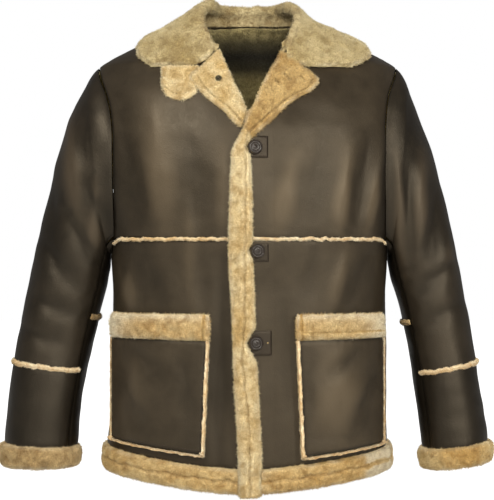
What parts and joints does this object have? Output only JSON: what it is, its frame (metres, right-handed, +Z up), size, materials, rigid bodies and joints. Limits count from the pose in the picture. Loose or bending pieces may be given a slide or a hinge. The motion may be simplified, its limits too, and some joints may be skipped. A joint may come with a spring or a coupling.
{
  "type": "shearling jacket",
  "caption": "Hip-length shearling jacket, hollow and filled out as if worn, with turned-back wool collar, lapels, front band, hem, cuffs and big patch pockets.",
  "frame": {"origin": "the middle of the neck base, level with the tops of the shoulders, where the wearer carries the jacket", "axes": "+Z up, the front faces -Y, +X is the wearer's left"},
  "size_m": [0.8054, 0.3195, 0.799],
  "materials": {
    "leather": "satin",
    "dark_leather": "satin",
    "wool": "short dense wool pile",
    "button": "satin"
  },
  "bodies": {
    "root": {"back": "leather", "button_1": "button", "button_2": "button", "button_3": "button", "button_stay_1": "dark_leather", "button_stay_2": "dark_leather", "button_stay_3": "dark_leather", "collar": "wool", "cuff_left": "wool", "cuff_right": "wool", "front_band": "wool", "front_left_lower": "leather", "front_left_upper": "leather", "front_right_lower": "leather", "front_right_upper": "leather", "hem_band_back": "wool", "hem_band_left": "wool", "hem_band_right": "wool", "lapel_eyelet": "dark_leather", "lapel_left": "wool", "lapel_right": "wool", "pocket_left_band": "wool", "pocket_left_patch": "leather", "pocket_left_welt": "wool", "pocket_right_band": "wool", "pocket_right_patch": "leather", "pocket_right_welt": "wool", "sleeve_left_top_lower": "leather", "sleeve_left_top_upper": "leather", "sleeve_left_under_lower": "leather", "sleeve_left_under_upper": "leather", "sleeve_right_top_lower": "leather", "sleeve_right_top_upper": "leather", "sleeve_right_under_lower": "leather", "sleeve_right_under_upper": "leather", "throat_tab": "wool", "welt_left_chest": "wool", "welt_left_top_sleeve": "wool", "welt_left_under_sleeve": "wool", "welt_right_chest": "wool", "welt_right_top_sleeve": "wool", "welt_right_under_sleeve": "wool"}
  },
  "joints": []
}
